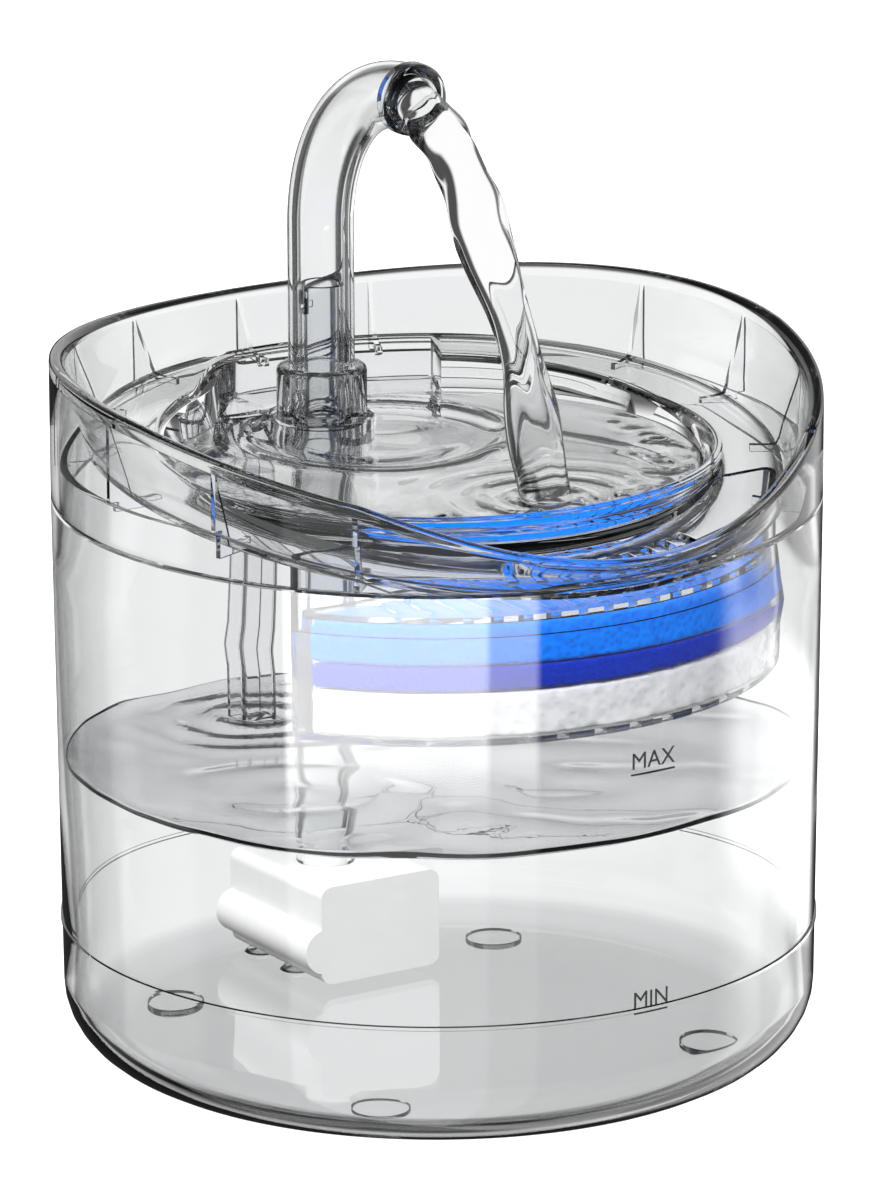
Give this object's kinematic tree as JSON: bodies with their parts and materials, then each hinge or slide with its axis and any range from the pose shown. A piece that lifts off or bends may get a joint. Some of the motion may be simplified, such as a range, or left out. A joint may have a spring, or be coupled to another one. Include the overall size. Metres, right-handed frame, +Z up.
{
  "type": "pet water fountain",
  "caption": "Round clear pet water fountain: a tank, a drinking tray with a bent spout that pours into its bowl, a filter box under the tray and a submersible pump.",
  "frame": {"origin": "centre of the base where the feet rest", "axes": "+Z up, the spout pours towards -Y"},
  "size_m": [0.18, 0.18, 0.2352],
  "materials": {
    "clear_tank": "clear, polished",
    "clear_tray": "clear, polished",
    "clear_tube": "clear, polished",
    "clear_filter": "clear, polished",
    "clear_silicone": "clear, satin",
    "blue_foam": "open-cell foam",
    "navy_felt": "felt",
    "white_cotton": "loose cotton wadding",
    "white_plastic": "satin",
    "shaft_steel": "ground",
    "dark_rubber": "matt",
    "magnet": "ground",
    "core_steel": "laminated",
    "copper_wire": "enamelled",
    "potting": "poured",
    "dark_foam": "open-cell foam"
  },
  "bodies": {
    "tank": {"water_tank": "clear_tank", "base_feet": "clear_silicone", "pump_housing": "white_plastic", "volute_cover": "white_plastic", "pump_shaft": "shaft_steel", "shaft_bushes": "dark_rubber", "stator_core": "core_steel", "stator_coil": "copper_wire", "pump_potting": "potting", "cable_gland": "dark_rubber", "suction_cups": "clear_silicone"},
    "tray": {"drinking_tray": "clear_tray", "return_duct": "clear_tray", "riser_sleeve": "clear_tube", "riser_pipe": "clear_tube"},
    "collar": {"spout_collar": "clear_tube", "spout_seal": "clear_silicone"},
    "spout_arm": {"spout": "clear_tube", "nozzle_ring": "clear_tube"},
    "filter": {"filter_box": "clear_filter", "filter_grille": "clear_filter", "filter_sponge": "blue_foam", "carbon_layer": "navy_felt", "cotton_pad": "white_cotton"},
    "cover": {"pump_cover": "white_plastic", "intake_sponge": "dark_foam"},
    "rotor": {"impeller": "white_plastic", "rotor_magnet": "magnet"}
  },
  "joints": [
    {"name": "tray_lift", "type": "slide", "parent": "tank", "child": "tray", "axis": [0, 0, 1], "range_m": [0, 0.115]},
    {"name": "spout_swivel", "type": "hinge", "parent": "tray", "child": "collar", "pos_m": [0, 0.05, 0.1415], "axis": [0, 0, 1], "range_deg": [-60, 60]},
    {"name": "spout_pull", "type": "slide", "parent": "collar", "child": "spout_arm", "axis": [0, 0, 1], "range_m": [0, 0.032]},
    {"name": "filter_box_release", "type": "slide", "parent": "tray", "child": "filter", "axis": [0, 0, -1], "range_m": [0, 0.03]},
    {"name": "pump_cover_slide", "type": "slide", "parent": "tank", "child": "cover", "axis": [0, -1, 0], "range_m": [0, 0.014]},
    {"name": "impeller_spin", "type": "hinge", "parent": "tank", "child": "rotor", "pos_m": [0, 0.05, 0.0195], "axis": [0, 1, 0], "continuous": true}
  ]
}
